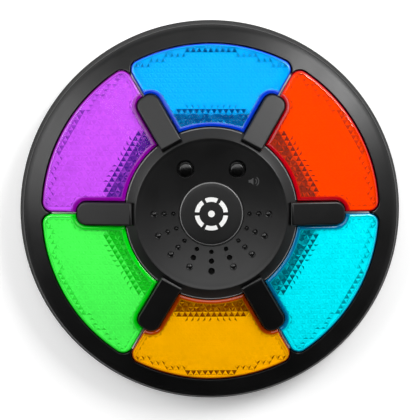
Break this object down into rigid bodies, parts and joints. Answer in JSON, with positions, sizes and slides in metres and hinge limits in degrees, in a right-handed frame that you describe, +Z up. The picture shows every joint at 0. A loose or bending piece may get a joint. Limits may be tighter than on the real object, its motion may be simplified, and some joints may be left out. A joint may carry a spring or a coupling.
{
  "type": "electronic memory game",
  "caption": "Round table-top electronic memory game with coloured press pads round a spoked hub, push buttons, a small speaker and a battery bay under a hinged door.",
  "frame": {"origin": "on the table under the middle of the casing, which stands on its rubber feet", "axes": "+Z up out of the pads; +Y towards the middle of the blue pad, the top of the picture; +X to the picture's right"},
  "size_m": [0.22, 0.22, 0.0386],
  "materials": {
    "black_plastic": "satin black moulded plastic",
    "badge_plastic": "smooth dark grey moulded plastic",
    "button_plastic": "glossy black moulded plastic",
    "rubber": "matt black rubber",
    "screw_steel": "zinc-plated steel",
    "lens_blue": "see-through blue moulded plastic",
    "lens_red": "see-through orange-red moulded plastic",
    "lens_cyan": "see-through cyan moulded plastic",
    "lens_orange": "see-through amber moulded plastic",
    "lens_green": "see-through green moulded plastic",
    "lens_purple": "see-through purple moulded plastic",
    "white_plastic": "matt white moulded plastic",
    "silicone": "soft grey silicone",
    "led_clear": "clear epoxy",
    "circuit_board": "green solder mask",
    "chip_plastic": "matt black epoxy",
    "speaker_steel": "pressed steel",
    "speaker_cone": "dark treated paper",
    "wire_sleeve": "red wire sleeve",
    "cable_sleeve": "grey cable sleeve",
    "cell_sleeve": "plain dark battery sleeve",
    "contact_steel": "nickel-plated spring steel"
  },
  "bodies": {
    "casing": {"base_shell": "black_plastic", "bezel_ring": "black_plastic", "hub_cover": "black_plastic", "badge_disc": "badge_plastic", "rubber_foot_1": "rubber", "rubber_foot_2": "rubber", "rubber_foot_3": "rubber", "rubber_foot_4": "rubber", "case_screw_1": "screw_steel", "case_screw_2": "screw_steel", "case_screw_3": "screw_steel", "case_screw_4": "screw_steel", "case_screw_5": "screw_steel", "case_screw_6": "screw_steel", "dome_pad_blue": "silicone", "dome_pad_red": "silicone", "dome_pad_cyan": "silicone", "dome_pad_orange": "silicone", "dome_pad_green": "silicone", "dome_pad_purple": "silicone", "led_blue": "led_clear", "led_red": "led_clear", "led_cyan": "led_clear", "led_orange": "led_clear", "led_green": "led_clear", "led_purple": "led_clear", "light_divider": "white_plastic", "switch_board": "circuit_board", "control_board": "circuit_board", "control_chip": "chip_plastic", "power_switch": "chip_plastic", "volume_switch": "chip_plastic", "speaker_frame": "speaker_steel", "speaker_magnet": "speaker_steel", "speaker_cone": "speaker_cone", "speaker_lead": "wire_sleeve", "battery_lead": "wire_sleeve", "board_cable": "cable_sleeve", "battery_front": "cell_sleeve", "battery_middle": "cell_sleeve", "battery_rear": "cell_sleeve", "contact_positive": "contact_steel", "contact_negative": "contact_steel", "contact_bridge_front": "contact_steel", "contact_bridge_rear": "contact_steel"},
    "pad_blue": {"lens_blue": "lens_blue", "diffuser_blue": "white_plastic"},
    "pad_red": {"lens_red": "lens_red", "diffuser_red": "white_plastic"},
    "pad_cyan": {"lens_cyan": "lens_cyan", "diffuser_cyan": "white_plastic"},
    "pad_orange": {"lens_orange": "lens_orange", "diffuser_orange": "white_plastic"},
    "pad_green": {"lens_green": "lens_green", "diffuser_green": "white_plastic"},
    "pad_purple": {"lens_purple": "lens_purple", "diffuser_purple": "white_plastic"},
    "power_push": {"power_button": "button_plastic"},
    "volume_push": {"volume_button": "button_plastic"},
    "door": {"battery_door": "black_plastic"}
  },
  "joints": [
    {"name": "pad_blue_press", "type": "slide", "parent": "casing", "child": "pad_blue", "axis": [0, 0, -1], "range_m": [0, 0.002], "stiffness_N_per_m": 900, "springref_m": -0.0006, "deforming": ["dome_pad_blue"]},
    {"name": "pad_red_press", "type": "slide", "parent": "casing", "child": "pad_red", "axis": [0, 0, -1], "range_m": [0, 0.002], "stiffness_N_per_m": 900, "springref_m": -0.0006, "deforming": ["dome_pad_red"]},
    {"name": "pad_cyan_press", "type": "slide", "parent": "casing", "child": "pad_cyan", "axis": [0, 0, -1], "range_m": [0, 0.002], "stiffness_N_per_m": 900, "springref_m": -0.0006, "deforming": ["dome_pad_cyan"]},
    {"name": "pad_orange_press", "type": "slide", "parent": "casing", "child": "pad_orange", "axis": [0, 0, -1], "range_m": [0, 0.002], "stiffness_N_per_m": 900, "springref_m": -0.0006, "deforming": ["dome_pad_orange"]},
    {"name": "pad_green_press", "type": "slide", "parent": "casing", "child": "pad_green", "axis": [0, 0, -1], "range_m": [0, 0.002], "stiffness_N_per_m": 900, "springref_m": -0.0006, "deforming": ["dome_pad_green"]},
    {"name": "pad_purple_press", "type": "slide", "parent": "casing", "child": "pad_purple", "axis": [0, 0, -1], "range_m": [0, 0.002], "stiffness_N_per_m": 900, "springref_m": -0.0006, "deforming": ["dome_pad_purple"]},
    {"name": "power_press", "type": "slide", "parent": "casing", "child": "power_push", "axis": [0, 0, -1], "range_m": [0, 0.0005], "stiffness_N_per_m": 2500, "springref_m": -0.0002, "deforming": ["power_switch"]},
    {"name": "volume_press", "type": "slide", "parent": "casing", "child": "volume_push", "axis": [0, 0, -1], "range_m": [0, 0.0005], "stiffness_N_per_m": 2500, "springref_m": -0.0002, "deforming": ["volume_switch"]},
    {"name": "battery_door_hinge", "type": "hinge", "parent": "casing", "child": "door", "pos_m": [0, 0.02385, 0.00365], "axis": [1, 0, 0], "range_deg": [0, 40]}
  ]
}
